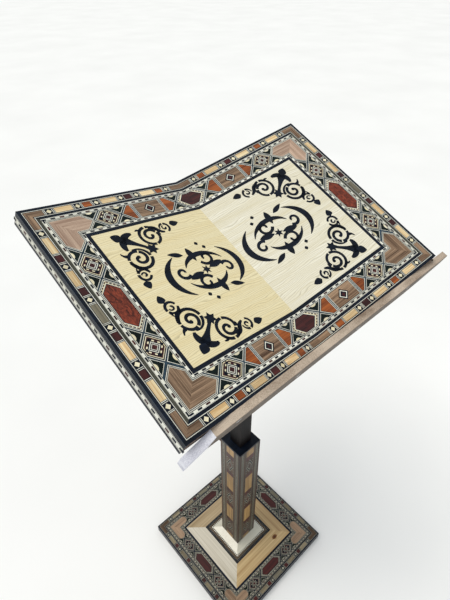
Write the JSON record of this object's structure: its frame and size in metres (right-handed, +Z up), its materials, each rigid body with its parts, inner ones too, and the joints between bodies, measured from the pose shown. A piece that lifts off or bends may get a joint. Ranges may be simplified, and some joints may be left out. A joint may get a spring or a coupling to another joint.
{
  "type": "quran stand",
  "caption": "Floor-standing book stand: inlaid V-shaped sloping head with a book ledge, on a post that slides up and down in a square inlaid column on a square base.",
  "frame": {"origin": "centre of the base's underside, on the floor, on the column's axis", "axes": "+Z up along the column, +Y away from the reader, +X towards the reader's right"},
  "size_m": [0.531, 0.3402, 0.9768],
  "materials": {
    "core_wood": "sanded hardwood with a thin satin varnish",
    "black_wood": "wood stained black under gloss varnish",
    "marquetry": "inlay of many woods under gloss varnish",
    "pine": "planed pine under clear varnish",
    "pale_moulding": "pale maple under gloss varnish",
    "beech": "sanded beech",
    "pale_beech": "pale beech under gloss varnish",
    "dark_wood": "dark stained wood, satin",
    "page_veneer": "ash veneer under satin varnish",
    "brass": "turned brass",
    "steel": "zinc-plated steel",
    "fibre": "pressed fibre, dull"
  },
  "bodies": {
    "column_base": {"base_board": "core_wood", "base_lipping": "black_wood", "base_marquetry": "marquetry", "base_frame_front": "pine", "base_frame_back": "pine", "base_frame_left": "pine", "base_frame_right": "pine", "plinth_block": "core_wood", "plinth_marquetry": "marquetry", "foot_moulding": "pale_moulding", "foot_block": "beech", "base_screws": "steel", "column_wall_front": "core_wood", "column_wall_back": "core_wood", "column_wall_left": "core_wood", "column_wall_right": "core_wood", "column_face_front": "marquetry", "column_face_back": "marquetry", "column_face_left": "marquetry", "column_face_right": "marquetry", "column_collar": "black_wood", "clamp_insert": "brass"},
    "head": {"post": "dark_wood", "neck_block": "dark_wood", "neck_dowels": "beech", "cradle_plate": "core_wood", "cradle_screws": "steel", "cradle_wedge_left": "core_wood", "cradle_wedge_right": "core_wood", "leaf_core_left": "core_wood", "leaf_core_right": "core_wood", "leaf_marquetry_left": "marquetry", "leaf_marquetry_right": "marquetry", "page_left": "page_veneer", "page_right": "page_veneer", "side_band_left": "marquetry", "side_band_right": "marquetry", "back_band_left": "marquetry", "back_band_right": "marquetry", "book_ledge": "beech", "ledge_end_block": "pale_beech", "ledge_screws": "steel"},
    "clamp_pad": {"clamp_pad": "fibre"},
    "clamp_knob": {"clamp_screw": "steel", "clamp_knob": "dark_wood"}
  },
  "joints": [
    {"name": "height_slide", "type": "slide", "parent": "column_base", "child": "head", "axis": [0, 0, 1], "range_m": [-0.265, 0.03]},
    {"name": "pad_slide", "type": "slide", "parent": "column_base", "child": "clamp_pad", "axis": [0, 1, 0], "range_m": [0, 0.0025]},
    {"name": "knob_turn", "type": "hinge", "parent": "clamp_pad", "child": "clamp_knob", "pos_m": [0, 0.04, 0.4], "axis": [0, 1, 0], "range_deg": [0, 720]}
  ],
  "couplings": [
    {"joint": "knob_turn", "follows": "pad_slide", "rad_per_m": 5026.5}
  ]
}
